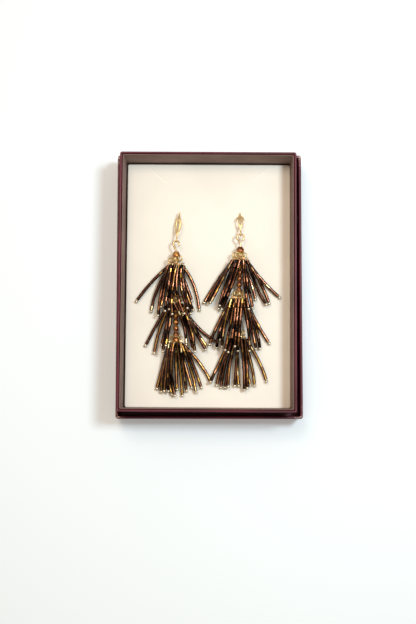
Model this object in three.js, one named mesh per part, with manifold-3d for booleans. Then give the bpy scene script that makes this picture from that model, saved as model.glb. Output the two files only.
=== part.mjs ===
// A pair of three-tier beaded tassel earrings, lying on the padded insert of a small jewellery box.
// The open tray of the box stands in its own upturned lid. Millimetres, +Z up, the long side along Y.
// The origin is the middle of the lid's underside, on the surface that it lies on.
import * as THREE from 'three';
import Module from 'manifold-3d';
import { mergeVertices } from 'three/addons/utils/BufferGeometryUtils.js';

const wasm = await Module();
wasm.setup();

// Box: the upturned lid, the tray that stands in it, the lining and the insert
const lidLength = 127;
const lidWidth = 88.8;
const lidHeight = 14;
const lidBoard = 1.3;
const lidCorner = 1.2;
const trayHeight = 26.3;
const trayBoard = 1.0;
const trayCorner = 1.0;
const traySideSlack = 1.65; // between tray and lid, along each long side
const trayEndSlack = 1.4; // between tray and lid, along each short side
const trayShiftAcross = -0.48; // share of the side slack
const trayShiftAlong = 0.57; // share of the end slack
const trayTurn = -0.31; // degrees
const seatGap = 0.3; // between pieces that rest against each other
const liningThickness = 0.3;
const padSideGap = 0.4; // between the insert and the lining
const padThickness = 9.3;
const slitInset = 10; // from the insert's long side to the upper end of its chain slit
const slitTopInset = 1.2; // from the insert's top edge
const slitLength = 13;
const slitWidth = 0.3;
const slitDepth = 4;
const slitSteepness = 41; // degrees from the short side

// Earrings: where each pin's eye lies on the insert, measured from the insert's middle, how far
// its wire's centre line is from its own middle, and how far the first cap's crest is below that
const axisHeight = 5.0; // of both pins above the insert
const earrings = [
  {
    name: 'left', across: -15.0, along: 18.65, lean: 0.3, eyeToCap: 6.75,
    eyeRadius: 1.4, eyeFrom: -50, eyeTo: 190, hookSwing: -6, hookPitch: -8, hookRoll: 82,
  },
  {
    name: 'right', across: 15.6, along: 21.8, lean: -1.2, eyeToCap: 7.4,
    eyeRadius: 1.65, eyeFrom: -70, eyeTo: 235, hookSwing: 0, hookPitch: -20.5, hookRoll: 0,
  },
];
const tierPitch = 18.6; // from one bead cap's crest to the next

// Eye pin
const pinRadius = 0.35;
const eyeWire = 0.37;
const pinEndRadius = 0.75;
const boreClearance = 0.3; // between the pin and what is strung on it

// Beads on the pin
const topBeadDiameter = 3.9;
const columnBeadDiameter = 2.8;
const columnBeads = 6;
const beadFacets = 8;
const beadGirdle = 0.36; // share of a bead's length that its middle band takes
const beadTable = 0.55; // share of a bead's radius that its end faces keep

// Pierced bead caps
const capLength = 2.7; // from the cap's crest down to the petals' ends
const capRadius = 4.2; // at the petals' ends
const capCrest = 2.1; // radius where the petals stand highest, as a cup round the bead above
const capSink = 1.2; // of the hub, below the crest
const cupRim = 0.2; // of the cup round the bead above, either side of the crest
const capFlare = 1.3; // 1 for straight petals, more for petals that bend down towards their ends
const hubRadius = 1.35;
const hubThickness = 0.7; // also the thickness of the petals, along the pin
const petalCount = 8;
const petalHoleWidth = 1.1;
const petalHoleLength = 1.5;
// One petal's edge: share of the petal's turn, and share of the cap's radius
const petalOutline = [[0, 0.74], [0.25, 0.97], [0.75, 0.97]];

// Fringes of beaded strands
const strandRadius = 0.9;
const strandSides = 6;
const strandSteps = 4;
const headRadius = 4.25;
const headThickness = 0.8;
const headGap = 0.3; // below the petals' ends, and round the column
const outerRootRadius = 3.75;
const innerRootRadius = 2.65;
const fanStart = 205; // degrees round the cap where the upper strands' fan starts, and its spread
const fanSpread = 230;
const underStart = -135; // the same for the strands under the cap
const underSpread = 90;
const pieceGap = 0.6; // between strands and any other piece
const strandGap = 0.1; // between neighbouring strands of one fringe
const strandBend = 9; // smallest radius of a strand's dips
const strandSlope = 0.8; // steepest rise of a strand along its way
const settleStations = 33;
const settlePasses = 150;
const rootShare = 0.12; // share of a strand, from its root, that the cap holds in place
const strandReach = 1.035; // share of its route that a strand goes, with its end bead

// Ear hook
const hookRingRadius = 1.25; // of the wire's centre line
const hookRingWire = 0.28;
const hookRingTurn = -35; // degrees, of the ring round the hook's length
const hookStemWidth = 0.8;
const hookPlate = 0.7; // thickness of the front
const hookPlateStart = 3.4; // distances from the ring's middle
const hookSlotStart = 4.5;
const hookSlotEnd = 9.4;
const hookSlotWidth = 1.3;
const hookFrameWidth = 2.5;
const hookPetalLow = 6.2; // the petals' free ends
const hookPetalRoot = 7.4; // where the petals leave the frame
const hookPetalSpan = 3.6;
const hookShoulder = 10.0;
const hookPointWidth = 0.9; // of the tip, at the shoulder
const hookPointEnd = 0.3;
const hookTip = 12.4;
const hookBulge = 0.8; // of the front, seen from the side
const backWireRadius = 0.3;
const backBulge = 0.9;
const backShift = 0.75; // of the wire behind, sideways, clear of the slot

// How finely round things are cut
const cornerSteps = 3; // in a quarter turn, or in one curved edge
const wireSides = 6;
const eyeSteps = 9;
const eyeWireSteps = 15;
const headSides = 12;

// Where the strands lie, seen from above: the middle and the tip of each, from its cap's crest.
// Columns: middleAcross, middleDown, tipAcross, tipDown. Each fan goes from the left to the right.
const strandRoutes = {
  left: [
    {
      over: [
        [-12, 11.5, -19, 20.5], [-9, 14.5, -12, 25.5], [-7, 15.5, -8.5, 27.5], [-5, 13.5, -7, 23.5],
        [-3.5, 14.5, -5, 25.5], [-2.5, 14, -3, 25], [-1.5, 15, -1.5, 27], [0.5, 15.5, 4, 27],
        [2.5, 13.5, 5.5, 24.5], [4, 15.5, 7, 27], [4, 13.5, 8, 24.5], [8, 12, 11, 24.5],
      ],
      under: [[-4.5, 12, -7.5, 21], [4.5, 12, 7.5, 20.5]],
    },
    {
      over: [
        [-9, 12.5, -14.5, 23], [-7.5, 14.5, -10.5, 26.5], [-4.5, 14.5, -6, 26], [-3, 13.5, -4.5, 23.5],
        [3.5, 13, 5, 23], [5.5, 14.5, 8, 25], [7, 15, 9, 26], [8.5, 15, 14, 25],
        [8.5, 14, 14.5, 23.5], [10, 14, 19.5, 21.5],
      ],
      under: [[-4.5, 13, -7, 23], [5, 13, 7.5, 23]],
    },
    {
      over: [
        [-6.5, 14.5, -9, 25], [-6, 15.5, -7, 26.5], [-4.5, 15, -5.5, 26], [-3.5, 15, -3.5, 26],
        [-2, 16, -0.5, 28], [2, 16, 3, 28], [3.5, 15, 5, 26], [7, 15.5, 9.5, 26.5],
        [8.5, 14.5, 12, 24.5], [11, 12.5, 16.5, 22],
      ],
      under: [[-3.5, 16, -2, 27.5], [0, 15, 0.5, 25.5], [4.5, 14.5, 7.5, 24.5]],
    },
  ],
  right: [
    {
      over: [
        [-10.5, 13.5, -16.5, 24], [-10, 13.5, -14.5, 24], [-8.5, 14, -13.5, 24], [-6.5, 15.5, -9.5, 26.5],
        [-5, 15, -9, 25.5], [-3.5, 15.5, -8, 27], [2.5, 15.5, 4.5, 27], [4, 15.5, 6.5, 26.5],
        [7.5, 14, 13, 24], [9.5, 13, 14.5, 23.5], [11, 12.5, 19.5, 20.5],
      ],
      under: [[-4.5, 14, -7.5, 24], [5.5, 13.5, 8, 22]],
    },
    {
      over: [
        [-9.5, 15, -13.5, 25.5], [-8, 16, -10, 26.5], [-6.5, 16, -7.5, 26.5], [-4, 17, -6, 28],
        [-2.5, 18, -4.5, 29], [-1, 16, -1.5, 26], [0.5, 17, 0, 28], [4.5, 16.5, 5.5, 28],
        [6.5, 16, 8.5, 27], [8, 15.5, 10.5, 26.5], [9, 14.5, 15, 24],
      ],
      under: [[-5.5, 14, -8.5, 23], [5, 14.5, 8.5, 24]],
    },
    {
      over: [
        [-8.5, 15, -12.5, 24.5], [-7, 15.5, -9.5, 26], [-6, 16.5, -7.5, 27], [-3.5, 16, -4, 26.5],
        [-0.5, 16, -1, 26], [3, 16.5, 3.5, 27.5], [4.5, 15.5, 5, 26.5], [6.5, 15, 8.5, 25.5],
        [10, 13.5, 14, 23.5],
      ],
      under: [[-4, 16, -5.5, 27], [0, 15.5, 1, 26], [4, 15.5, 6.5, 25.5]],
    },
  ],
};

const finishes = {
  maroonPaper: { color: 0x5a2c34, roughness: 0.45, metalness: 0 },
  taupeLining: { color: 0xa58f80, roughness: 0.8, metalness: 0 },
  creamCard: { color: 0xf8f3e2, roughness: 0.85, metalness: 0 },
  gold: { color: 0xd8b468, roughness: 0.25, metalness: 1 },
  amberGlass: { color: 0x8a4a1c, roughness: 0.12, metalness: 0.1 },
  bronzeBeads: { color: 0x46281a, roughness: 0.22, metalness: 0.4 },
};

const radians = (degrees) => THREE.MathUtils.degToRad(degrees);

// Solids: three.js geometry to a solid and back
function toSolid(geometry) {
  const bare = geometry.clone();
  bare.deleteAttribute('normal');
  bare.deleteAttribute('uv');
  const merged = mergeVertices(bare, 1e-4);
  return new wasm.Manifold(new wasm.Mesh({
    numProp: 3,
    vertProperties: new Float32Array(merged.attributes.position.array),
    triVerts: new Uint32Array(merged.index.array),
  }));
}

function toGeometry(solid) {
  const mesh = solid.getMesh();
  const geometry = new THREE.BufferGeometry();
  geometry.setAttribute('position', new THREE.BufferAttribute(new Float32Array(mesh.vertProperties), 3));
  geometry.setIndex(new THREE.BufferAttribute(new Uint32Array(mesh.triVerts), 1));
  geometry.computeVertexNormals();
  return geometry;
}

function fuse(geometries) {
  let solid = toSolid(geometries[0]);
  for (const geometry of geometries.slice(1)) {
    solid = solid.add(toSolid(geometry));
  }
  return solid;
}

function addPiece(group, name, geometry, finish) {
  const mesh = new THREE.Mesh(geometry, new THREE.MeshStandardMaterial(finishes[finish]));
  mesh.name = name;
  group.add(mesh);
  return mesh;
}

// A closed ring or bead, turned round the Y axis from [radius, height] points
function turned(profile, segments) {
  const points = profile.map(([radius, height]) => new THREE.Vector2(radius, height));
  points.push(points[0].clone());
  return new THREE.LatheGeometry(points, segments);
}

// A wire or strand: a regular section carried along a curve
function wire(curve, radius, steps, sides) {
  const section = new THREE.Shape();
  for (let i = 0; i < sides; i += 1) {
    const angle = (2 * Math.PI * i) / sides;
    const place = [radius * Math.cos(angle), radius * Math.sin(angle)];
    if (i === 0) {
      section.moveTo(...place);
    } else {
      section.lineTo(...place);
    }
  }
  section.closePath();
  return new THREE.ExtrudeGeometry(section, { extrudePath: curve, steps, curveSegments: 1 });
}

// Box boards
function roundedRectangle(width, length, corner) {
  const x = width / 2;
  const y = length / 2;
  const shape = new THREE.Shape();
  shape.moveTo(-x + corner, -y);
  shape.lineTo(x - corner, -y);
  shape.absarc(x - corner, -y + corner, corner, -Math.PI / 2, 0);
  shape.lineTo(x, y - corner);
  shape.absarc(x - corner, y - corner, corner, 0, Math.PI / 2);
  shape.lineTo(-x + corner, y);
  shape.absarc(-x + corner, y - corner, corner, Math.PI / 2, Math.PI);
  shape.lineTo(-x, -y + corner);
  shape.absarc(-x + corner, -y + corner, corner, Math.PI, 1.5 * Math.PI);
  return shape;
}

function block(width, length, height, corner, base) {
  const geometry = new THREE.ExtrudeGeometry(roundedRectangle(width, length, corner),
    { depth: height, bevelEnabled: false, curveSegments: cornerSteps });
  return geometry.translate(0, 0, base);
}

function openBox(width, length, height, board, floor, corner) {
  const outside = toSolid(block(width, length, height, corner, 0));
  const innerCorner = Math.max(corner - board, corner / 4);
  const inside = toSolid(block(width - 2 * board, length - 2 * board, height, innerCorner, floor));
  return toGeometry(outside.subtract(inside));
}

const trayWidth = lidWidth - 2 * lidBoard - 2 * traySideSlack;
const trayLength = lidLength - 2 * lidBoard - 2 * trayEndSlack;
const trayBase = lidBoard + seatGap;
const liningWidth = trayWidth - 2 * trayBoard - 2 * seatGap;
const liningLength = trayLength - 2 * trayBoard - 2 * seatGap;
const liningBase = trayBoard + seatGap;
const padWidth = liningWidth - 2 * liningThickness - 2 * padSideGap;
const padLength = liningLength - 2 * liningThickness - 2 * padSideGap;
const padBase = liningBase + liningThickness + seatGap;
const padTop = padBase + padThickness;

function liningGeometry() {
  const height = trayHeight - liningBase - liningThickness;
  return openBox(liningWidth, liningLength, height, liningThickness, liningThickness, trayCorner / 2);
}

// The insert is a firm pad, with a slanting slit for a chain in each upper corner
function padGeometry() {
  let pad = toSolid(block(padWidth, padLength, padThickness, trayCorner / 2, 0));
  for (const side of [-1, 1]) {
    const slit = new THREE.BoxGeometry(slitLength, slitWidth, 2 * slitDepth);
    slit.translate(slitLength / 2, 0, padThickness);
    slit.rotateZ(radians(side < 0 ? -slitSteepness : slitSteepness - 180));
    slit.translate(side * (padWidth / 2 - slitInset), padLength / 2 - slitTopInset, 0);
    pad = pad.subtract(toSolid(slit));
  }
  return toGeometry(pad);
}

// A faceted bead on the Y axis from height low, as the outside of a turned profile
function beadProfile(radius, length, low) {
  const tableRadius = radius * beadTable;
  const band = (length * beadGirdle) / 2;
  const middle = low + length / 2;
  return [[tableRadius, low], [radius, middle - band], [radius, middle + band], [tableRadius, low + length]];
}

const bore = pinRadius + boreClearance;

function beadString(radius, length, count) {
  const profile = [];
  for (let i = 0; i < count; i += 1) {
    const outline = beadProfile(radius, length / count, (i * length) / count);
    profile.push(...(i === 0 ? outline : outline.slice(1)));
  }
  return turned([[bore, 0], ...profile, [bore, length]], beadFacets);
}

// A cap like an open flower, its crest at the origin: a cup whose floor is the hub, and round its
// rim a sheet with a hole through each petal, bent down to the petals' ends
const hubTop = -capSink;
const columnDown = capSink + hubThickness + seatGap; // from a cap's crest to the first bead under it

function capGeometry() {
  const petals = [];
  for (let i = 0; i < petalCount; i += 1) {
    const turn = (2 * Math.PI * i) / petalCount;
    for (const [share, radius] of petalOutline) {
      const angle = turn + (share * 2 * Math.PI) / petalCount;
      const reach = radius * capRadius;
      petals.push(new THREE.Vector2(reach * Math.cos(angle), reach * Math.sin(angle)));
    }
  }
  const flower = new THREE.Shape(petals);
  flower.holes.push(new THREE.Path(Array.from({ length: petalCount }, (_, i) => {
    const angle = (2 * Math.PI * i) / petalCount;
    return new THREE.Vector2(capCrest * Math.cos(angle), capCrest * Math.sin(angle));
  })));
  const cupRadius = capCrest + cupRim;
  const holeMiddle = cupRadius + petalHoleLength / 2;
  for (let i = 0; i < petalCount; i += 1) {
    const angle = (2 * Math.PI * (i + 0.5)) / petalCount;
    const hole = new THREE.Path();
    hole.absellipse(holeMiddle * Math.cos(angle), holeMiddle * Math.sin(angle),
      petalHoleLength / 2, petalHoleWidth / 2, 0, 2 * Math.PI, false, angle);
    flower.holes.push(hole);
  }
  const sheet = new THREE.ExtrudeGeometry(flower,
    { depth: hubThickness, bevelEnabled: false, curveSegments: cornerSteps });
  sheet.rotateX(-Math.PI / 2);
  sheet.translate(0, -hubThickness, 0);
  const places = sheet.attributes.position;
  for (let i = 0; i < places.count; i += 1) {
    const radius = Math.hypot(places.getX(i), places.getZ(i));
    const out = Math.max(0, radius - capCrest) / (capRadius - capCrest);
    places.setY(i, places.getY(i) - (capLength - hubThickness) * out ** capFlare);
  }
  const cup = turned([
    [bore, hubTop - hubThickness], [hubRadius, hubTop - hubThickness], [cupRadius, -hubThickness],
    [cupRadius, 0], [capCrest - cupRim, 0], [hubRadius, hubTop], [bore, hubTop],
  ], petalCount);
  return toGeometry(fuse([sheet, cup]));
}

// The pin: an open eye, its straight run and a rounded end under the last cap
function eyePinGeometry({ eyeRadius, eyeFrom, eyeTo, eyeToCap }) {
  const eyePoints = [];
  for (let i = 0; i <= eyeSteps; i += 1) {
    const angle = radians(eyeFrom + ((eyeTo - eyeFrom) * i) / eyeSteps);
    eyePoints.push(new THREE.Vector3(eyeRadius * Math.cos(angle), eyeRadius * Math.sin(angle), 0));
  }
  const neck = eyeToCap + capSink - topBeadDiameter - 2 * seatGap;
  eyePoints.push(new THREE.Vector3(0, -neck, 0));
  eyePoints.push(new THREE.Vector3(0, -neck - 2 * eyeWire, 0));
  const eye = wire(new THREE.CatmullRomCurve3(eyePoints, false, 'chordal'), eyeWire, eyeWireSteps, wireSides);
  const pinEnd = eyeToCap + 2 * tierPitch + columnDown + columnBeadDiameter + seatGap + pinEndRadius;
  const run = new THREE.CylinderGeometry(pinRadius, pinRadius, pinEnd - neck, wireSides);
  run.translate(0, -(pinEnd + neck) / 2, 0);
  const end = new THREE.SphereGeometry(pinEndRadius, beadFacets, wireSides);
  end.translate(0, -pinEnd, 0);
  return toGeometry(fuse([eye, run, end]));
}

// The hook: a ring, a slotted front with two swept petals, and the plain ear wire behind it
function hookFrontShape() {
  const stem = hookStemWidth / 2;
  const frame = hookFrameWidth / 2;
  const petal = hookPetalSpan / 2;
  const edge = [[stem, hookRingRadius]];
  const addCurve = (from, control, to) => {
    const curve = new THREE.QuadraticBezierCurve(
      new THREE.Vector2(...from), new THREE.Vector2(...control), new THREE.Vector2(...to));
    edge.push(...curve.getPoints(cornerSteps).map((point) => [point.x, point.y]));
  };
  addCurve([stem, hookPlateStart], [frame, hookSlotStart], [frame, hookPetalRoot]);
  const shoulder = [hookPointWidth / 2, hookShoulder];
  addCurve([petal, hookPetalLow], [petal, (hookPetalLow + hookShoulder) / 2], shoulder);
  edge.push([hookPointEnd / 2, hookTip]);
  const mirrored = edge.map(([across, along]) => [-across, along]).reverse();
  const shape = new THREE.Shape([...edge, ...mirrored].map((place) => new THREE.Vector2(...place)));
  const slot = new THREE.Path();
  const slotMiddle = (hookSlotStart + hookSlotEnd) / 2;
  slot.moveTo(0, hookSlotStart);
  slot.quadraticCurveTo(hookSlotWidth, slotMiddle, 0, hookSlotEnd);
  slot.quadraticCurveTo(-hookSlotWidth, slotMiddle, 0, hookSlotStart);
  shape.holes.push(slot);
  return shape;
}

function hookGeometry() {
  const front = new THREE.ExtrudeGeometry(hookFrontShape(),
    { depth: hookPlate, bevelEnabled: false, curveSegments: cornerSteps });
  const places = front.attributes.position;
  const middle = (hookPlateStart + hookShoulder) / 2;
  const reach = (hookShoulder - hookPlateStart) / 2;
  for (let i = 0; i < places.count; i += 1) {
    const along = (places.getY(i) - middle) / reach;
    const lift = hookBulge * Math.max(0, 1 - along * along);
    places.setZ(i, places.getZ(i) - hookPlate / 2 + lift);
  }
  const backCurve = new THREE.CatmullRomCurve3([
    new THREE.Vector3(0, hookPlateStart, 0),
    new THREE.Vector3(backShift, middle, -backBulge),
    new THREE.Vector3(0, hookShoulder, 0),
  ]);
  const backWire = wire(backCurve, backWireRadius, 2 * cornerSteps, wireSides);
  const ring = new THREE.TorusGeometry(hookRingRadius, hookRingWire, wireSides, 10);
  ring.rotateY(Math.PI / 2 + radians(hookRingTurn));
  return toGeometry(fuse([front, backWire, ring]));
}

// Strands settle on the insert: each is a parabola seen from above, and lies as low as the
// pieces and strands under it let it, with no dip or rise sharper than a beaded string takes.
const lowestHeight = strandRadius + pieceGap;
const rootDown = capLength + headGap + headThickness / 2;

function routeOf(row, rootAcross) {
  const [middleAcross, middleDown, tipAcross, tipDown] = row;
  const controlAcross = 2 * middleAcross - (rootAcross + tipAcross) / 2;
  const controlDown = 2 * middleDown - (rootDown + tipDown) / 2;
  const route = [];
  for (let i = 0; i < settleStations; i += 1) {
    const share = (strandReach * i) / (settleStations - 1);
    const rest = 1 - share;
    route.push({
      share,
      across: rest * rest * rootAcross + 2 * share * rest * controlAcross + share * share * tipAcross,
      down: rest * rest * rootDown + 2 * share * rest * controlDown + share * share * tipDown,
    });
  }
  return route;
}

// From a place under a cap to the tray's own x and y
function placeOnTray(earring, tier, across, down) {
  const lean = radians(earring.lean);
  const below = down + earring.eyeToCap + (tier - 1) * tierPitch;
  return {
    x: earring.across + across * Math.cos(lean) + below * Math.sin(lean),
    y: earring.along + across * Math.sin(lean) - below * Math.cos(lean),
  };
}

// Round obstacles along a pin: the caps with their fringe heads, and the columns of beads
function pinObstacles(earring) {
  const obstacles = [];
  const headDown = rootDown + headThickness / 2;
  for (let tier = 1; tier <= 3; tier += 1) {
    for (const share of [0.1, 0.4, 0.7, 1]) {
      const radius = capCrest + (capRadius - capCrest) * share;
      const place = placeOnTray(earring, tier, 0, capLength * share);
      obstacles.push({ ...place, height: axisHeight, radius, tier, column: false });
    }
    for (const down of [rootDown - headThickness / 2, headDown]) {
      const place = placeOnTray(earring, tier, 0, down);
      obstacles.push({ ...place, height: axisHeight, radius: headRadius, tier, column: false });
    }
    for (let down = headDown; tier < 3 && down < tierPitch; down += strandRadius / 2) {
      const place = placeOnTray(earring, tier, 0, down);
      obstacles.push({ ...place, height: axisHeight, radius: columnBeadDiameter / 2, tier, column: true });
    }
  }
  return obstacles;
}

function settle(route, rootHeight, fringe, under, laid) {
  const heights = route.map(({ share }) => lowestHeight + (rootHeight - lowestHeight) * (1 - share) ** 2);
  let travelled = 0;
  for (let i = 1; i < route.length; i += 1) {
    travelled += Math.hypot(route[i].x - route[i - 1].x, route[i].y - route[i - 1].y);
  }
  const step = travelled / (route.length - 1);
  for (const thing of laid) {
    const ownPin = thing.pin === fringe.pin && thing.tier === fringe.tier;
    if (thing.strand !== true && ownPin && (under || thing.column !== true)) {
      continue;
    }
    const sameFringe = thing.strand === true && ownPin;
    const reach = thing.radius + strandRadius + (sameFringe ? strandGap : pieceGap);
    route.forEach((place, i) => {
      const apart = (place.x - thing.x) ** 2 + (place.y - thing.y) ** 2;
      if (place.share > rootShare && apart < reach * reach) {
        heights[i] = Math.max(heights[i], thing.height + Math.sqrt(reach * reach - apart));
      }
    });
  }
  const dip = step ** 2 / (2 * strandBend);
  const last = heights.length - 1;
  for (let pass = 0; pass < settlePasses; pass += 1) {
    for (let i = 1; i < last; i += 1) {
      heights[i] = Math.max(heights[i], (heights[i - 1] + heights[i + 1]) / 2 - dip,
        heights[i + 1] - strandSlope * step);
    }
    for (let i = 1; i <= last; i += 1) {
      heights[i] = Math.max(heights[i], heights[i - 1] - strandSlope * step);
    }
  }
  return heights;
}

// Roots go round the cap in two rings, by turns the outer and the inner one
function rootsOf(routes) {
  const roots = [];
  const addFan = (rows, start, spread, under) => {
    rows.forEach((row, i) => {
      const turnShare = under ? (i + 0.5) / rows.length : -i / (rows.length - 1);
      const angle = radians(start + spread * turnShare);
      const radius = i % 2 === 0 ? outerRootRadius : innerRootRadius;
      roots.push({
        row, under, across: radius * Math.cos(angle), height: axisHeight + radius * Math.sin(angle),
      });
    });
  };
  addFan(routes.under, underStart, underSpread, true);
  addFan(routes.over, fanStart, fanSpread, false);
  return roots.sort((a, b) => (b.under - a.under) || (a.height - b.height));
}

function layFringe(earring, tier, routes, laid) {
  const fringe = { pin: earring.name, tier };
  const strands = [];
  for (const root of rootsOf(routes)) {
    const route = routeOf(root.row, root.across);
    for (const place of route) {
      Object.assign(place, placeOnTray(earring, tier, place.across, place.down));
    }
    const heights = settle(route, root.height, fringe, root.under, laid);
    const points = route.map((place, i) => new THREE.Vector3(place.x, place.y, padTop + heights[i]));
    for (const [i, place] of route.entries()) {
      const { x, y } = place;
      laid.push({ x, y, height: heights[i], radius: strandRadius, strand: true, ...fringe });
    }
    strands.push(points);
  }
  return strands;
}

function fringeGeometry(earring, tier, strands) {
  const middleOfHead = placeOnTray(earring, tier, 0, rootDown);
  const head = turned([
    [columnBeadDiameter / 2 + headGap, -headThickness / 2], [headRadius, -headThickness / 2],
    [headRadius, headThickness / 2], [columnBeadDiameter / 2 + headGap, headThickness / 2],
  ], headSides);
  head.rotateZ(radians(earring.lean));
  head.translate(middleOfHead.x, middleOfHead.y, padTop + axisHeight);
  const stride = (settleStations - 1) / strandSteps;
  const tubes = strands.map((points) => {
    const chosen = Array.from({ length: strandSteps + 1 }, (_, i) => points[Math.round(i * stride)]);
    return wire(new THREE.CatmullRomCurve3(chosen), strandRadius, strandSteps, strandSides);
  });
  return toGeometry(fuse([head, ...tubes]));
}

// Assembly
const box = new THREE.Group();
addPiece(box, 'lid_shell', openBox(lidWidth, lidLength, lidHeight, lidBoard, lidBoard, lidCorner),
  'maroonPaper');

const tray = new THREE.Group();
tray.position.set(trayShiftAcross * traySideSlack, trayShiftAlong * trayEndSlack, trayBase);
tray.rotation.z = radians(trayTurn);
box.add(tray);
addPiece(tray, 'tray_shell', openBox(trayWidth, trayLength, trayHeight, trayBoard, trayBoard, trayCorner),
  'maroonPaper');
addPiece(tray, 'tray_lining', liningGeometry(), 'taupeLining').position.z = liningBase;
addPiece(tray, 'insert_pad', padGeometry(), 'creamCard').position.z = padBase;

const laid = [];
for (const earring of earrings) {
  laid.push(...pinObstacles(earring).map((thing) => ({ ...thing, pin: earring.name })));
}
for (const earring of earrings) {
  const name = earring.name;
  for (const tier of [3, 2, 1]) {
    const strands = layFringe(earring, tier, strandRoutes[name][tier - 1], laid);
    addPiece(tray, `${name}_fringe_${tier}`, fringeGeometry(earring, tier, strands), 'bronzeBeads');
  }
}

for (const earring of earrings) {
  const name = earring.name;
  const pin = new THREE.Group();
  pin.position.set(earring.across, earring.along, padTop + axisHeight);
  pin.rotation.z = radians(earring.lean);
  tray.add(pin);
  addPiece(pin, `${name}_eye_pin`, eyePinGeometry(earring), 'gold');
  const topBead = addPiece(pin, `${name}_top_bead`,
    beadString(topBeadDiameter / 2, topBeadDiameter, 1), 'amberGlass');
  topBead.position.y = hubTop + seatGap - earring.eyeToCap;
  for (let tier = 1; tier <= 3; tier += 1) {
    const crest = -earring.eyeToCap - (tier - 1) * tierPitch;
    addPiece(pin, `${name}_cap_${tier}`, capGeometry(), 'gold').position.y = crest;
    const beads = tier < 3 ? columnBeads : 1;
    const length = tier < 3 ? tierPitch + capSink - columnDown - seatGap : columnBeadDiameter;
    const column = addPiece(pin, tier < 3 ? `${name}_bead_column_${tier}` : `${name}_end_bead`,
      beadString(columnBeadDiameter / 2, length, beads), 'amberGlass');
    column.position.y = crest - columnDown - length;
  }
  const hook = new THREE.Group();
  hook.position.y = earring.eyeRadius;
  hook.rotation.set(radians(earring.hookPitch), radians(earring.hookRoll), radians(earring.hookSwing), 'ZXY');
  pin.add(hook);
  addPiece(hook, `${name}_ear_hook`, hookGeometry(), 'gold');
}

export default box;
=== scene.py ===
import bpy
import numpy as np
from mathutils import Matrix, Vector


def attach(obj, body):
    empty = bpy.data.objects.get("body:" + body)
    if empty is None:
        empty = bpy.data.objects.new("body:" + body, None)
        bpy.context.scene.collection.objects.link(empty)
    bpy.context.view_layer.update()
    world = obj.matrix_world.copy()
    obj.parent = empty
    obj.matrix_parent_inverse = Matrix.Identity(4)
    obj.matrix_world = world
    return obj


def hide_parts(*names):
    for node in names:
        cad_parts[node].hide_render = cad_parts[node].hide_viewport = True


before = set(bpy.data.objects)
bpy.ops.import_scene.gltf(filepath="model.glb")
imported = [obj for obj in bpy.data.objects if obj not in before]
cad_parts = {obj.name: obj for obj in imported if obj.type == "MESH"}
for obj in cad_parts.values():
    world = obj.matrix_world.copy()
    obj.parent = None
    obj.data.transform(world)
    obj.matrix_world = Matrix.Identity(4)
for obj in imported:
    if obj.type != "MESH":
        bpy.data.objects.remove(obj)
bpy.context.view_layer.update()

# A pair of three-tier beaded earrings on the padded insert of a jewellery box.
# The object's tables are in millimetres and degrees, as the CAD's are. Meshes, lights and camera are
# in metres.
mm = 0.001
rng = np.random.default_rng(7)


# places: the tray, and each earring's pin in it
trayPlace = {"across": -0.792, "along": 0.798, "up": 1.6, "turn": -0.31, "padTop": 11.2}
earrings = {
    "left": {"across": -15.0, "along": 18.65, "lean": 0.3, "eyeToCap": 6.75, "eyeRadius": 1.4,
             "eyeFrom": -50, "eyeTo": 190, "hookSwing": -6, "hookPitch": -8, "hookRoll": 82},
    "right": {"across": 15.6, "along": 21.8, "lean": -1.2, "eyeToCap": 7.4, "eyeRadius": 1.65,
              "eyeFrom": -70, "eyeTo": 235, "hookSwing": 2, "hookPitch": -20.5, "hookRoll": 0},
}
pinValues = {"axisHeight": 5.0, "tierPitch": 18.6, "capLength": 2.7, "capRadius": 4.2, "capCrest": 2.1,
             "capSink": 1.2, "headRadius": 4.25, "headThickness": 0.8, "headGap": 0.3,
             "columnRadius": 1.4, "columnDown": 2.2, "seatGap": 0.3}


# Rotation about one axis by the right-hand rule
def turned(points, degrees, axis):
    angle = np.radians(degrees)
    cosine, sine = np.cos(angle), np.sin(angle)
    first, second = [(1, 2), (2, 0), (0, 1)][axis]
    result = np.array(points, float)
    a, b = result[:, first].copy(), result[:, second].copy()
    result[:, first] = a * cosine - b * sine
    result[:, second] = a * sine + b * cosine
    return result


def fromTray(points):
    place = [trayPlace["across"], trayPlace["along"], trayPlace["up"]]
    return turned(points, trayPlace["turn"], 2) + place


# Pin coordinates: x across, y up the pin from the eye's middle, z up from the pin's axis
def fromPin(points, side):
    e = earrings[side]
    place = [e["across"], e["along"], trayPlace["padTop"] + pinValues["axisHeight"]]
    return fromTray(turned(points, e["lean"], 2) + place)


def fromHook(points, side):
    e = earrings[side]
    rolled = turned(turned(points, e["hookRoll"], 1), e["hookPitch"], 0)
    return fromPin(turned(rolled, e["hookSwing"], 2) + [0, e["eyeRadius"], 0], side)


# mesh building from arrays
def part(verts, faces, slot=0, smooth=True, tone=0.5):
    tones = np.broadcast_to(np.asarray(tone, float), (len(verts),))
    return {"verts": np.asarray(verts, float), "faces": faces, "slot": slot, "smooth": smooth, "tone": tones}


def moved(item, change):
    return {**item, "verts": change(item["verts"])}


# Rings joined to their neighbours by quads: ring i point j sits at index i * points + j
def loft(rings, slot=0, wrap=False):
    rings = np.asarray(rings, float)
    count, points = rings.shape[:2]
    i = np.arange(count if wrap else count - 1)[:, None]
    j = np.arange(points)[None, :]
    here, there = i * points, ((i + 1) % count) * points
    after = (j + 1) % points
    faces = [np.stack([here + j, here + after, there + after, there + j], -1).reshape(-1, 4)]
    if not wrap:
        faces += [np.arange(points)[::-1][None, :], np.arange(points)[None, :] + (count - 1) * points]
    return part(rings.reshape(-1, 3), faces, slot)


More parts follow.
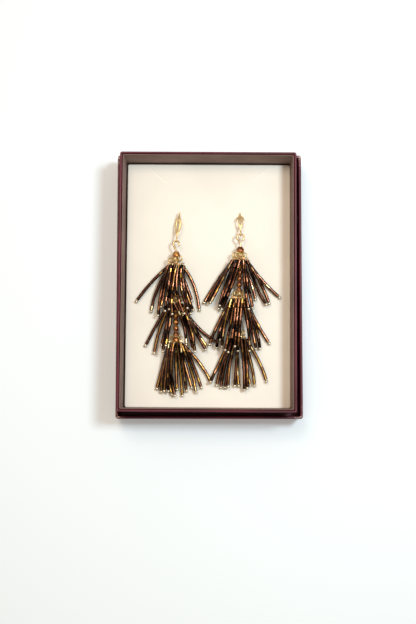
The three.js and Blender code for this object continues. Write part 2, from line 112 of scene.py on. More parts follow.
# A wire: a circle of the radius carried along the path, square to it
def sweep(path, radius, sides, up, closed=False, slot=0):
    path, up = np.asarray(path, float), np.asarray(up, float)
    ahead = np.roll(path, -1, 0) - np.roll(path, 1, 0) if closed else np.gradient(path, axis=0)
    ahead /= np.linalg.norm(ahead, axis=1, keepdims=True)
    over = up - ahead * (ahead @ up)[:, None]
    over /= np.linalg.norm(over, axis=1, keepdims=True)
    out = np.cross(over, ahead)
    angles = np.linspace(0, 2 * np.pi, sides, endpoint=False)
    radii = np.broadcast_to(np.asarray(radius, float), (len(path),))[:, None, None]
    circle = np.cos(angles)[None, :, None] * out[:, None] + np.sin(angles)[None, :, None] * over[:, None]
    return loft(path[:, None] + radii * circle, slot, closed)


# A parabola from start to end, whose two tangents meet at the control point; a reach over 1 carries it
# on past its end
def arc(start, control, end, steps=8, reach=1):
    share = np.linspace(0, reach, steps)[:, None]
    start, control, end = map(np.array, (start, control, end))
    return (1 - share) ** 2 * start + 2 * share * (1 - share) * control + share ** 2 * end


# A profile of [radius, height] turned round the pin's line
def lathe(profile, sides, wrap=False):
    profile = np.asarray(profile, float)
    angles = np.linspace(0, 2 * np.pi, sides, endpoint=False)
    rings = np.stack([
        profile[:, :1] * np.sin(angles), np.repeat(profile[:, 1:], sides, 1), profile[:, :1] * np.cos(angles),
    ], -1)
    return loft(rings, wrap=wrap)


# Edges sharper than this stay crisp in every piece
sharpAngle = np.radians(50)


def makePiece(name, parts, materials, nodes):
    starts = np.cumsum([0] + [len(p["verts"]) for p in parts])
    verts = np.concatenate([p["verts"] for p in parts]) * mm
    faces, slots, smooth = [], [], []
    for p, start in zip(parts, starts):
        for block in p["faces"]:
            faces += (block + start).tolist()
            slots += [p["slot"]] * len(block)
            smooth += [p["smooth"]] * len(block)
    mesh = bpy.data.meshes.new(name)
    mesh.from_pydata(verts, [], faces)
    mesh.polygons.foreach_set("material_index", np.array(slots, np.int32))
    mesh.polygons.foreach_set("use_smooth", np.array(smooth, bool))
    tones = mesh.attributes.new("tone", "FLOAT", "POINT")
    tones.data.foreach_set("value", np.concatenate([p["tone"] for p in parts]).astype(np.float32))
    for material in materials:
        mesh.materials.append(material)
    mesh.set_sharp_from_angle(angle=sharpAngle)
    mesh.update()
    piece = bpy.data.objects.new(name, mesh)
    bpy.context.scene.collection.objects.link(piece)
    if nodes:
        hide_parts(*nodes)
    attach(piece, "root")
    return piece


# shader helpers
def newTree(name):
    material = bpy.data.materials.new(name)
    material.use_nodes = True
    tree = material.node_tree
    return material, tree, tree.nodes["Principled BSDF"]


def addNode(tree, kind, **inputs):
    node = tree.nodes.new(kind)
    for key, value in inputs.items():
        setattr(node, key, value)
    return node


def setSockets(node, values):
    for name, value in values.items():
        node.inputs[name].default_value = value


def noiseAt(tree, coordinates, scale):
    noise = addNode(tree, "ShaderNodeTexNoise")
    setSockets(noise, {"Scale": scale, "Detail": 3.0, "Roughness": 0.5})
    tree.links.new(coordinates, noise.inputs["Vector"])
    return noise.outputs["Fac"]


def ramp(tree, value, stops):
    node = addNode(tree, "ShaderNodeValToRGB")
    elements = node.color_ramp.elements
    while len(elements) < len(stops):
        elements.new(0.5)
    for element, (place, colour) in zip(elements, stops):
        element.position = place
        element.color = (*colour, 1)
    tree.links.new(value, node.inputs["Fac"])
    return node.outputs["Color"]


def bump(tree, shader, height, strength, distance):
    node = addNode(tree, "ShaderNodeBump")
    setSockets(node, {"Strength": strength, "Distance": distance})
    tree.links.new(height, node.inputs["Height"])
    tree.links.new(node.outputs["Normal"], shader.inputs["Normal"])


# A colour mixed with a fixed one. The node's colour sockets share their names with others, so they
# are taken by their places.
mixFirst, mixSecond, mixResult = 6, 7, 2


def mixed(tree, share, body, other):
    mix = addNode(tree, "ShaderNodeMix", data_type="RGBA")
    tree.links.new(share, mix.inputs["Factor"])
    tree.links.new(body, mix.inputs[mixFirst])
    mix.inputs[mixSecond].default_value = (*other, 1)
    return mix.outputs[mixResult]


# A value stretched so that the band's ends become 0 and 1
def stretched(tree, value, band):
    node = addNode(tree, "ShaderNodeMapRange")
    setSockets(node, {"From Min": band[0], "From Max": band[1]})
    tree.links.new(value, node.inputs["Value"])
    return node.outputs["Result"]


# Painted shade: the body's colour passes into the edge's where the surface turns away from the eye, a
# darkening that stands in for shade and dark reflections at the rims
def paintedEdgeShade(tree, body, edge, band):
    facing = addNode(tree, "ShaderNodeLayerWeight")
    facing.inputs["Blend"].default_value = 0.5
    return mixed(tree, stretched(tree, facing.outputs["Facing"], band), body, edge)


# Paper grain: a fine noise for the surface and a broad one for its clouds
def paperGrainGroup():
    group = bpy.data.node_groups.new("paper grain", "ShaderNodeTree")
    group.interface.new_socket("Vector", in_out="INPUT", socket_type="NodeSocketVector")
    group.interface.new_socket("Grain scale", in_out="INPUT", socket_type="NodeSocketFloat")
    group.interface.new_socket("Grain", in_out="OUTPUT", socket_type="NodeSocketFloat")
    group.interface.new_socket("Clouds", in_out="OUTPUT", socket_type="NodeSocketFloat")
    inside, outside = group.nodes.new("NodeGroupInput"), group.nodes.new("NodeGroupOutput")
    fine = addNode(group, "ShaderNodeTexNoise")
    setSockets(fine, {"Detail": 4.0, "Roughness": 0.6})
    group.links.new(inside.outputs["Vector"], fine.inputs["Vector"])
    group.links.new(inside.outputs["Grain scale"], fine.inputs["Scale"])
    clouds = addNode(group, "ShaderNodeTexNoise")
    setSockets(clouds, {"Scale": 45.0, "Detail": 2.0})
    group.links.new(inside.outputs["Vector"], clouds.inputs["Vector"])
    group.links.new(fine.outputs["Fac"], outside.inputs["Grain"])
    group.links.new(clouds.outputs["Fac"], outside.inputs["Clouds"])
    return group


paperGrain = paperGrainGroup()


def grained(tree, scale):
    node = addNode(tree, "ShaderNodeGroup", node_tree=paperGrain)
    node.inputs["Grain scale"].default_value = scale
    coordinates = addNode(tree, "ShaderNodeTexCoord")
    tree.links.new(coordinates.outputs["Object"], node.inputs["Vector"])
    return node


maroonValues = {"dark": (0.07, 0.008, 0.019), "light": (0.16, 0.02, 0.042), "worn": (0.62, 0.5, 0.46),
                "grainScale": 1400.0, "wornBand": (0.42, 0.52), "roughness": 0.42, "specular": 0.35}


# Maroon paper: clouds between two reds, pale where the tone attribute and fine specks say it is worn
def maroonMaterial():
    v = maroonValues
    material, tree, shader = newTree("maroon paper")
    grain = grained(tree, v["grainScale"])
    colour = ramp(tree, grain.outputs["Clouds"], [(0.3, v["dark"]), (0.75, v["light"])])
    wear = addNode(tree, "ShaderNodeAttribute", attribute_name="tone")
    specks = addNode(tree, "ShaderNodeMath", operation="MULTIPLY")
    tree.links.new(wear.outputs["Fac"], specks.inputs[0])
    tree.links.new(grain.outputs["Grain"], specks.inputs[1])
    worn = mixed(tree, stretched(tree, specks.outputs[0], v["wornBand"]), colour, v["worn"])
    tree.links.new(worn, shader.inputs["Base Color"])
    setSockets(shader, {"Roughness": v["roughness"], "Specular IOR Level": v["specular"]})
    bump(tree, shader, grain.outputs["Grain"], 0.25, 0.00008)
    return material


def paperMaterial(name, dark, light, roughness, scale, strength):
    material, tree, shader = newTree(name)
    grain = grained(tree, scale)
    colour = ramp(tree, grain.outputs["Clouds"], [(0.35, dark), (0.65, light)])
    tree.links.new(colour, shader.inputs["Base Color"])
    setSockets(shader, {"Roughness": roughness, "Specular IOR Level": 0.25})
    bump(tree, shader, grain.outputs["Grain"], strength, 0.00006)
    return material


# Plated gold: deeper and browner where it turns away from the eye, a painted reflection of its darker
# surroundings
def goldMaterial(name, colour, edge, band, roughness):
    material, tree, shader = newTree(name)
    coordinates = addNode(tree, "ShaderNodeTexCoord").outputs["Object"]
    deep = tuple(0.8 * c for c in colour)
    body = ramp(tree, noiseAt(tree, coordinates, 700.0), [(0.3, deep), (0.6, colour)])
    tree.links.new(paintedEdgeShade(tree, body, edge, band), shader.inputs["Base Color"])
    setSockets(shader, {"Metallic": 1.0, "Roughness": roughness})
    bump(tree, shader, noiseAt(tree, coordinates, 1800.0), 0.15, 0.00005)
    return material


# Lined glass: colour from the bead's own tone, painted nearly black as shade where it turns away from the eye
def beadMaterial(name, stops, edge, band, roughness, metallic, coat):
    material, tree, shader = newTree(name)
    tone = addNode(tree, "ShaderNodeAttribute", attribute_name="tone").outputs["Fac"]
    tree.links.new(paintedEdgeShade(tree, ramp(tree, tone, stops), edge, band), shader.inputs["Base Color"])
    setSockets(shader, {"Roughness": roughness, "Metallic": metallic, "Coat Weight": coat,
                        "Coat Roughness": 0.06, "Coat IOR": 1.5})
    return material


maroonPaper = maroonMaterial()
taupeLining = paperMaterial(
    "taupe lining", dark=(0.235, 0.16, 0.14), light=(0.31, 0.215, 0.19),
    roughness=0.8, scale=1600.0, strength=0.3)
creamCard = paperMaterial(
    "cream card", dark=(0.9, 0.9, 0.84), light=(0.94, 0.94, 0.88),
    roughness=0.75, scale=1500.0, strength=0.15)
# The edge colours of the three golds are painted reflection of dark surroundings at their rims
gold = goldMaterial(
    "gold plating", colour=(0.78, 0.53, 0.25), edge=(0.16, 0.07, 0.025), band=(0.05, 0.5), roughness=0.3)
findingGold = goldMaterial(
    "pale gold plating", colour=(1.0, 0.8, 0.42), edge=(0.62, 0.38, 0.13), band=(0.3, 1.0), roughness=0.5)
tipGold = goldMaterial(
    "pale gold", colour=(1.0, 0.94, 0.74), edge=(0.32, 0.17, 0.07), band=(0.3, 0.9), roughness=0.35)
# The edge colours of both glasses are painted shade at the rims of each bead
strandGlass = beadMaterial(
    "bronze glass beads", edge=(0.02, 0.009, 0.007), band=(0.0, 0.16), roughness=0.3, metallic=1.0, coat=0.3,
    stops=[(0.0, (0.05, 0.018, 0.01)), (0.35, (0.17, 0.062, 0.032)), (0.6, (0.4, 0.165, 0.075)),
           (0.8, (0.75, 0.43, 0.09)), (1.0, (1.0, 0.84, 0.5))])
# The amber's brightest stops colour the painted glints on the cut beads' facets
amberGlass = beadMaterial(
    "amber glass", edge=(0.06, 0.016, 0.006), band=(0.25, 0.75), roughness=0.16, metallic=0.6, coat=0.4,
    stops=[(0.0, (0.08, 0.02, 0.007)), (0.4, (0.22, 0.06, 0.018)), (0.7, (0.55, 0.22, 0.04)),
           (1.0, (1.0, 0.7, 0.2))])
print("materials ready")


# box: boards wrapped in paper, as rounded rectangles carried up one wall and down the other
lidValues = {"width": 88.8, "length": 127.0, "height": 14.0, "board": 1.3, "corner": 1.2, "rim": 0.45,
             "wear": 1.0, "wearReach": 4.0}
shellValues = {"width": 82.9, "length": 121.6, "height": 26.3, "board": 1.0, "corner": 1.0, "rim": 0.36,
               "wear": 0.85, "wearReach": 2.5}
liningValues = {"width": 80.3, "length": 119.0, "base": 1.3, "height": 24.7, "board": 0.3, "corner": 0.5,
                "rim": 0.135}
boardValues = {"footRound": 0.25, "flatReach": 1.0, "footRing": 2.0, "belowRim": 0.4, "leastCorner": 0.25}
wearValues = {"depth": 1.6, "rim": 0.45, "corner": 0.6}
padValues = {"width": 78.9, "length": 117.6, "base": 1.9, "height": 9.3, "edge": 0.55, "corner": 0.9,
             "leastCorner": 0.3, "flatReach": 0.2, "footRing": 1.5, "belowEdge": 0.5, "shift": (0.33, -0.35)}
slitValues = {"inset": 10.0, "topInset": 1.2, "length": 13.0, "width": 0.55, "depth": 0.25, "steepness": 41,
              "taper": 1.0, "pointShare": 0.3}


# Points round a rectangle with rounded corners, the same number on each side and corner
def roundedRing(width, length, corner, height, cornerPoints=5, sidePoints=9):
    angles = np.linspace(0, np.pi / 2, cornerPoints)
    points = []
    for k, (sx, sy) in enumerate([(1, 1), (-1, 1), (-1, -1), (1, -1)]):
        turn = angles + k * np.pi / 2
        centre = np.array([sx * (width / 2 - corner), sy * (length / 2 - corner)])
        points.append(centre + corner * np.stack([np.cos(turn), np.sin(turn)], 1))
    ring = []
    for k in range(4):
        share = np.linspace(0, 1, sidePoints + 2)[1:-1, None]
        ring += [points[k], points[k][-1] * (1 - share) + points[(k + 1) % 4][0] * share]
    flat = np.concatenate(ring)
    return np.column_stack([flat, np.full(len(flat), height)])


# A section is a path of (inset, height); the corner keeps its centre as the inset grows
def sectionLoft(v, section, leastCorner):
    return loft([roundedRing(v["width"] - 2 * inset, v["length"] - 2 * inset,
                             max(v["corner"] - inset, leastCorner), height) for inset, height in section])


def openBox(v, base=0):
    top, board, rim = v["height"], v["board"], v["rim"]
    foot, flat = boardValues["footRound"], boardValues["flatReach"]
    underRim = top - rim - boardValues["belowRim"]
    quarter = np.linspace(0, np.pi / 2, 4)
    section = [(flat, 0), (foot, 0), (0.28 * foot, 0.28 * foot), (0, foot)]
    section += [(0, h) for h in np.linspace(boardValues["footRing"], underRim, 5)]
    section += [(rim - rim * np.cos(a), top - rim + rim * np.sin(a)) for a in quarter]
    section += [(board - rim + rim * np.sin(a), top - rim + rim * np.cos(a)) for a in quarter]
    section += [(board, h) for h in np.linspace(underRim, board, 5)] + [(board + flat, board)]
    shape = sectionLoft(v, section, boardValues["leastCorner"])
    shape["verts"][:, 2] += base
    return shape


# Wear is strongest at the corners of a rim: the product of nearness to rim, side and end
def cornerWear(verts, v):
    x = v["width"] / 2 - np.abs(verts[:, 0])
    y = v["length"] / 2 - np.abs(verts[:, 1])
    rimNear = np.clip(1 - (v["height"] - verts[:, 2]) / wearValues["depth"], 0, 1)
    cornerNear = np.exp(-np.hypot(x, y) / v["wearReach"])
    return v["wear"] * rimNear * (wearValues["rim"] + wearValues["corner"] * cornerNear)


lid = openBox(lidValues)
lid["tone"] = cornerWear(lid["verts"], lidValues)
makePiece("lidBoards", [lid], [maroonPaper], ["lid_shell"])

shell = openBox(shellValues)
shell["tone"] = cornerWear(shell["verts"], shellValues)
makePiece("trayBoards", [moved(shell, fromTray)], [maroonPaper], ["tray_shell"])

lining = openBox(liningValues, liningValues["base"])
makePiece("trayLining", [moved(lining, fromTray)], [taupeLining], ["tray_lining"])


# The insert is a card-covered pad with soft upper edges
def insertShape():
    v, edge, flat = padValues, padValues["edge"], padValues["flatReach"]
    quarter = np.linspace(0, np.pi / 2, 5)
    section = [(flat, 0), (0, flat)]
    section += [(0, h) for h in np.linspace(v["footRing"], v["height"] - edge - v["belowEdge"], 4)]
    section += [(edge * (1 - np.cos(a)), v["height"] - edge * (1 - np.sin(a))) for a in quarter]
    section += [(edge + flat, v["height"])]
    return sectionLoft(v, section, v["leastCorner"])


# A chain slit slants from the upper edge of the insert towards its middle, and tapers at both ends
def slitShape(side):
    v, pad, top = slitValues, padValues, padValues["height"]
    length, taper, half = v["length"], v["taper"], v["width"] / 2
    point = half * v["pointShare"]
    ring = np.array([[0, -point], [taper, -half], [length - taper, -half], [length, -point],
                     [length, point], [length - taper, half], [taper, half], [0, point]])
    shape = loft([np.column_stack([ring, np.full(8, h)]) for h in (top - v["depth"], top + 1)])
    shape["verts"] = turned(shape["verts"], -v["steepness"] if side < 0 else v["steepness"] - 180, 2)
    shape["verts"] += [side * (pad["width"] / 2 - v["inset"]), pad["length"] / 2 - v["topInset"], 0]
    return shape


def onTray(item):
    return moved(item, lambda verts: fromTray(verts + [*padValues["shift"], padValues["base"]]))


# The cut is made at once, so that the finished insert carries no modifier
def cutAway(piece, cutter):
    cut = piece.modifiers.new("slits", "BOOLEAN")
    cut.operation = "DIFFERENCE"
    cut.solver = "EXACT"
    cut.object = cutter
    bpy.context.view_layer.update()
    mesh = bpy.data.meshes.new_from_object(piece.evaluated_get(bpy.context.evaluated_depsgraph_get()))
    piece.modifiers.clear()
    mesh.set_sharp_from_angle(angle=sharpAngle)
    piece.data = mesh
    bpy.data.objects.remove(cutter)


insert = makePiece("paddedInsert", [onTray(insertShape())], [creamCard], ["insert_pad"])
slits = [onTray(slitShape(side)) for side in (-1, 1)]
cutAway(insert, makePiece("slitCutter", slits, [creamCard], []))
print("box and insert ready")


# strands: how each lies on the insert. Columns: middle across, middle down, tip across, tip down
strandValues = {"radius": 0.9, "pieceGap": 0.6, "strandGap": 0.1, "bend": 9, "slope": 0.8, "stations": 33,
                "reach": 1.035, "passes": 500, "rootShare": 0.12, "outerRoot": 3.75, "innerRoot": 2.65,
                "fanStart": 205, "fanSpread": 230, "underStart": -135, "underSpread": 90}
pinNumber = {"left": 0, "right": 1}
capKind, columnKind, strandKind = 0, 1, 2
strandRoutes = {
    "left": [
        {"over": [
            [-12, 11.5, -19, 20.5], [-9, 14.5, -12, 25.5], [-7, 15.5, -8.5, 27.5], [-5, 13.5, -7, 23.5],
            [-3.5, 14.5, -5, 25.5], [-2.5, 14, -3, 25], [-1.5, 15, -1.5, 27], [0.5, 15.5, 4, 27],
            [2.5, 13.5, 5.5, 24.5], [4, 15.5, 7, 27], [4, 13.5, 8, 24.5], [8, 12, 11, 24.5]],
         "under": [[-4.5, 12, -7.5, 21], [4.5, 12, 7.5, 20.5]]},
        {"over": [
            [-9, 12.5, -14.5, 23], [-7.5, 14.5, -10.5, 26.5], [-4.5, 14.5, -6, 26], [-3, 13.5, -4.5, 23.5],
            [3.5, 13, 5, 23], [5.5, 14.5, 8, 25], [7, 15, 9, 26], [8.5, 15, 14, 25],
            [8.5, 14, 14.5, 23.5], [10, 14, 19.5, 21.5]],
         "under": [[-4.5, 13, -7, 23], [5, 13, 7.5, 23]]},
        {"over": [
            [-6.5, 14.5, -9, 25], [-6, 15.5, -7, 26.5], [-4.5, 15, -5.5, 26], [-3.5, 15, -3.5, 26],
            [-2, 16, -0.5, 28], [2, 16, 3, 28], [3.5, 15, 5, 26], [7, 15.5, 9.5, 26.5],
            [8.5, 14.5, 12, 24.5], [11, 12.5, 16.5, 22]],
         "under": [[-3.5, 16, -2, 27.5], [0, 15, 0.5, 25.5], [4.5, 14.5, 7.5, 24.5]]},
    ],
    "right": [
        {"over": [
            [-10.5, 13.5, -16.5, 24], [-10, 13.5, -14.5, 24], [-8.5, 14, -13.5, 24], [-6.5, 15.5, -9.5, 26.5],
            [-5, 15, -9, 25.5], [-3.5, 15.5, -8, 27], [2.5, 15.5, 4.5, 27], [4, 15.5, 6.5, 26.5],
            [7.5, 14, 13, 24], [9.5, 13, 14.5, 23.5], [11, 12.5, 19.5, 20.5]],
         "under": [[-4.5, 14, -7.5, 24], [5.5, 13.5, 8, 22]]},
        {"over": [
            [-9.5, 15, -13.5, 25.5], [-8, 16, -10, 26.5], [-6.5, 16, -7.5, 26.5], [-4, 17, -6, 28],
            [-2.5, 18, -4.5, 29], [-1, 16, -1.5, 26], [0.5, 17, 0, 28], [4.5, 16.5, 5.5, 28],
            [6.5, 16, 8.5, 27], [8, 15.5, 10.5, 26.5], [9, 14.5, 15, 24]],
         "under": [[-5.5, 14, -8.5, 23], [5, 14.5, 8.5, 24]]},
        {"over": [
            [-8.5, 15, -12.5, 24.5], [-7, 15.5, -9.5, 26], [-6, 16.5, -7.5, 27], [-3.5, 16, -4, 26.5],
            [-0.5, 16, -1, 26], [3, 16.5, 3.5, 27.5], [4.5, 15.5, 5, 26.5], [6.5, 15, 8.5, 25.5],
            [10, 13.5, 14, 23.5]],
         "under": [[-4, 16, -5.5, 27], [0, 15.5, 1, 26], [4, 15.5, 6.5, 25.5]]},
    ],
}
rootDown = pinValues["capLength"] + pinValues["headGap"] + pinValues["headThickness"] / 2


# From a place under a cap to the tray's own x and y
def onInsert(side, tier, across, down):
    e = earrings[side]
    lean = np.radians(e["lean"])
    below = np.asarray(down, float) + e["eyeToCap"] + (tier - 1) * pinValues["tierPitch"]
    return np.stack([e["across"] + across * np.cos(lean) + below * np.sin(lean),
                     e["along"] + across * np.sin(lean) - below * np.cos(lean)], -1)


# Round things along a pin that strands lie over, one row each: x, y, height, radius, pin, tier, kind
def pinObstacles(side):
    p, pin = pinValues, pinNumber[side]
    rows = []
    for tier in (1, 2, 3):
        for share in (0.1, 0.4, 0.7, 1):
            radius = p["capCrest"] + (p["capRadius"] - p["capCrest"]) * share
            place = onInsert(side, tier, 0, p["capLength"] * share)
            rows.append([*place, p["axisHeight"], radius, pin, tier, capKind])
        for down in (rootDown - p["headThickness"] / 2, rootDown + p["headThickness"] / 2):
            place = onInsert(side, tier, 0, down)
            rows.append([*place, p["axisHeight"], p["headRadius"], pin, tier, capKind])
        if tier < 3:
            columnTop, step = rootDown + p["headThickness"] / 2, strandValues["radius"] / 2
            for down in np.arange(columnTop, p["tierPitch"], step):
                place = onInsert(side, tier, 0, down)
                rows.append([*place, p["axisHeight"], p["columnRadius"], pin, tier, columnKind])
    return np.array(rows)


# A strand sinks from its root to the insert as the square of the way left, and rises over all that is
# laid already. It is then raised until no bend is tighter and no slope steeper than beads on a thread take.
def settle(xy, rootHeight, pin, tier, under, laid):
    v = strandValues
    lowest = v["radius"] + v["pieceGap"]
    share = np.linspace(0, v["reach"], v["stations"])
    heights = lowest + (rootHeight - lowest) * (1 - share) ** 2
    step = np.linalg.norm(np.diff(xy, axis=0), axis=1).sum() / (v["stations"] - 1)
    own = (laid[:, 4] == pin) & (laid[:, 5] == tier)
    strand, column = laid[:, 6] == strandKind, laid[:, 6] == columnKind
    used = ~(own & ~strand & (under | ~column))
    gaps = np.where(own & strand, v["strandGap"], v["pieceGap"])[used]
    used = laid[used]
    reach = used[:, 3] + v["radius"] + gaps
    apart = ((xy[:, None] - used[None, :, :2]) ** 2).sum(-1)
    over = np.where(apart < reach ** 2, used[:, 2] + np.sqrt(np.maximum(reach ** 2 - apart, 0)), 0).max(1)
    heights = np.where(share > v["rootShare"], np.maximum(heights, over), heights)
    dip = step ** 2 / (2 * v["bend"])
    ladder = v["slope"] * step * np.arange(v["stations"])
    for _ in range(v["passes"]):
        middle = (heights[:-2] + heights[2:]) / 2 - dip
        heights[1:-1] = np.maximum(heights[1:-1], middle)
        inner = heights[1:]
        back = np.maximum.accumulate((inner - ladder[1:])[::-1])[::-1] + ladder[1:]
        heights[1:] = np.maximum(inner, back)
        heights = np.maximum.accumulate(heights + ladder) - ladder
    return heights


# Roots go round the cap in two rings, by turns the outer and the inner one
def rootsOf(routes):
    v = strandValues
    roots = []
    for kind, start, spread in (("under", v["underStart"], v["underSpread"]),
                                ("over", v["fanStart"], v["fanSpread"])):
        rows = routes[kind]
        for i, row in enumerate(rows):
            turn = (i + 0.5) / len(rows) if kind == "under" else -i / (len(rows) - 1)
            angle = np.radians(start + spread * turn)
            radius = v["outerRoot"] if i % 2 == 0 else v["innerRoot"]
            height = pinValues["axisHeight"] + radius * np.sin(angle)
            roots.append((row, kind == "under", radius * np.cos(angle), height))
    return sorted(roots, key=lambda root: (not root[1], root[3]))


# Seen from above a strand is a parabola through its root, its middle and its tip
def layFringe(side, tier, laid):
    v, pin = strandValues, pinNumber[side]
    strands = []
    for row, under, rootAcross, rootHeight in rootsOf(strandRoutes[side][tier - 1]):
        root, middle, tip = np.array([rootAcross, rootDown]), np.array(row[:2]), np.array(row[2:])
        control = 2 * middle - (root + tip) / 2
        route = arc(root, control, tip, v["stations"], v["reach"])
        xy = onInsert(side, tier, route[:, 0], route[:, 1])
        heights = settle(xy, rootHeight, pin, tier, under, laid)
        count = len(heights)
        rows = np.column_stack([xy, heights, np.full(count, v["radius"]), np.full(count, pin),
                                np.full(count, tier), np.full(count, strandKind)])
        laid = np.concatenate([laid, rows])
        strands.append(np.column_stack([xy, heights + trayPlace["padTop"]]))
    return strands, laid


laid = np.concatenate([pinObstacles("left"), pinObstacles("right")])
fringes = {}
for side in ("left", "right"):
    for tier in (3, 2, 1):
        fringes[side, tier], laid = layFringe(side, tier, laid)
print("strands settled")


# beads on the strands
beadValues = {"start": 0.35, "pitch": 2.1, "gap": 0.02, "radius": 0.8, "endShare": 0.8, "bevel": 0.07,
              "sides": 8, "stray": 0.03, "rollStray": 0.25,
              "ringRadius": 0.5, "ringWire": 0.14, "ringBack": 0.25,
              "tipRadius": 0.8, "tipFlatness": 0.85, "tipBore": 0.35}
toneValues = {"strands": [0.3, 0.48, 0.58, 0.7], "shares": [0.25, 0.42, 0.25, 0.08], "stray": 0.08,
              "brightShare": 0.07, "bright": (0.74, 0.97), "tiers": {1: -0.05, 2: 0.0, 3: 0.05}}


# Position at each distance along a path, and direction between the places a little before and after it
def along(path, distances, little=0.4):
    steps = np.concatenate([[0], np.cumsum(np.linalg.norm(np.diff(path, axis=0), axis=1))])
    points = np.stack([np.interp(distances, steps, path[:, k]) for k in range(3)], 1)
    ahead = np.stack([np.interp(distances + little, steps, path[:, k]) for k in range(3)], 1)
    behind = np.stack([np.interp(distances - little, steps, path[:, k]) for k in range(3)], 1)
    direction = ahead - behind
    return points, direction / np.linalg.norm(direction, axis=1, keepdims=True)


# Copies of one bead: its rings (distance along, radius) set square to each place's direction
def beadsOn(points, direction, rings, sides, rolls, tones, slot):
    rings = np.asarray(rings, float)
    over = np.array([0, 0, 1]) - direction * direction[:, 2:]
    over /= np.linalg.norm(over, axis=1, keepdims=True)
    out = np.cross(over, direction)
    angles = np.linspace(0, 2 * np.pi, sides, endpoint=False)[None, :] + rolls[:, None]
    circle = np.cos(angles)[..., None] * out[:, None] + np.sin(angles)[..., None] * over[:, None]
    shape = points[:, None, None] + direction[:, None, None] * rings[None, :, None, :1] \
        + circle[:, None] * rings[None, :, None, 1:]
    one = loft(np.zeros((len(rings), sides, 3)))
    each = len(rings) * sides
    starts = np.arange(len(points)) * each
    faces = [(block[None] + starts[:, None, None]).reshape(-1, block.shape[1]) for block in one["faces"]]
    return part(shape.reshape(-1, 3), faces, slot, True, np.repeat(tones, each))


# A strand has one tone, its beads stray a little from it, and a few of them are bright
def strandTones(count, tier):
    v = toneValues
    strandTone = rng.choice(v["strands"], p=v["shares"]) + v["tiers"][tier]
    tones = strandTone + rng.normal(0, v["stray"], count)
    isBright = rng.random(count) < v["brightShare"]
    return np.clip(np.where(isBright, rng.uniform(*v["bright"], count), tones), 0, 1)


# The small ring that ties a strand to the cap, round the strand's root
def rootRing(path):
    v = beadValues
    place, direction = (rows[0] for rows in along(path, np.array([0.0])))
    turn = np.linspace(0, 2 * np.pi, 12, endpoint=False)
    side = np.cross(direction, [0, 0, 1])
    side /= np.linalg.norm(side)
    circle = place - v["ringBack"] * direction + v["ringRadius"] * (
        np.cos(turn)[:, None] * direction + np.sin(turn)[:, None] * side)
    return sweep(circle, v["ringWire"], 5, np.cross(direction, side), True, 2)


def strandParts(path, tier):
    v = beadValues
    length = np.linalg.norm(np.diff(path, axis=0), axis=1).sum()
    run = length - v["start"] - 2 * v["tipRadius"]
    count = int(round(run / v["pitch"]))
    pitch = run / count
    points, direction = along(path, v["start"] + pitch * (np.arange(count) + 0.5))
    half, endRadius = (pitch - v["gap"]) / 2, v["radius"] * v["endShare"]
    stray = rng.normal(0, v["stray"], (count, 3))
    rings = [(-half, endRadius), (-half + v["bevel"], v["radius"]),
             (half - v["bevel"], v["radius"]), (half, endRadius)]
    tones = strandTones(count, tier)
    rolls = rng.uniform(0, 2 * np.pi) + rng.normal(0, v["rollStray"], count)
    beads = beadsOn(points + stray, direction, rings, v["sides"], rolls, tones, 0)
    tipPoint, tipDirection = along(path, np.array([length - v["tipRadius"]]))
    angles = np.linspace(v["tipBore"] - np.pi / 2, np.pi / 2 - v["tipBore"], 6)
    tipRings = [(v["tipFlatness"] * v["tipRadius"] * np.sin(a), v["tipRadius"] * np.cos(a)) for a in angles]
    tip = beadsOn(tipPoint, tipDirection, tipRings, 10, np.zeros(1), np.array([0.7]), 1)
    return [beads, tip, rootRing(path)]


for (side, tier), strands in fringes.items():
    parts = [moved(item, fromTray) for path in strands for item in strandParts(path, tier)]
    makePiece(f"{side}Fringe{tier}", parts, [strandGlass, tipGold, gold], [f"{side}_fringe_{tier}"])
print("fringes ready")


# caps: a hoop round the pin with a row of jump rings hanging from it, over a small cup
capValues = {"rings": 10, "ringRadius": 1.2, "ringWire": 0.21, "ringOut": 2.35, "ringDown": 1.15,
             "stray": 0.12, "twist": 28, "hoopRadius": 1.75, "hoopWire": 0.2, "hoopDown": 0.35,
             "cupFloor": 1.1, "cupRim": 1.62, "cupBore": 0.65, "cupDeep": 0.7}

# The left earring's upper cap has slipped askew: its tilt in degrees and its shift. The end bead stands
# in front of the same earring's lowest cap, which has no cup, and no rings past the height partedFrom.
capLean = {("left", 1): (14, (-0.8, 0.3, 0))}
partedCaps = {("left", 3)}
partedFrom = 1.2
endBead = {"radius": 1.8, "length": 3.6, "up": 1.7, "forward": 0.9}


def cupShape():
    v, sink = capValues, pinValues["capSink"]
    profile = [(v["cupBore"], -sink - v["cupDeep"]), (v["cupFloor"], -sink - v["cupDeep"]),
               (1.45, -sink - 0.3), (v["cupRim"], -0.65), (v["cupRim"] - 0.14, -0.6),
               (1.3, -sink - 0.05), (v["cupFloor"], -sink), (v["cupBore"], -sink)]
    return lathe(profile, 18, wrap=True)


# Each jump ring lies in a plane through the pin's line, then turned a little about its own middle
def capParts(parted=False):
    v = capValues
    turn = np.linspace(0, 2 * np.pi, 22, endpoint=False)
    circle = v["ringRadius"] * np.column_stack([np.cos(turn), np.sin(turn), np.zeros(22)])
    hoop = v["hoopRadius"] * np.column_stack([np.cos(turn), np.zeros(22), np.sin(turn)])
    parts = [sweep(hoop - [0, v["hoopDown"], 0], v["hoopWire"], 6, (0, 1, 0), True)]
    for k in range(v["rings"]):
        ring = sweep(circle, v["ringWire"], 7, (0, 0, 1), True)
        place = [v["ringOut"] + rng.normal(0, v["stray"]), -v["ringDown"] + rng.normal(0, v["stray"]), 0]
        twisted = turned(ring["verts"], rng.normal(0, v["twist"]), 1) + place
        ring["verts"] = turned(twisted, 360 * (k + 0.5) / v["rings"], 1)
        if not (parted and ring["verts"][:, 2].mean() > partedFrom):
            parts.append(ring)
    return parts if parted else parts + [cupShape()]


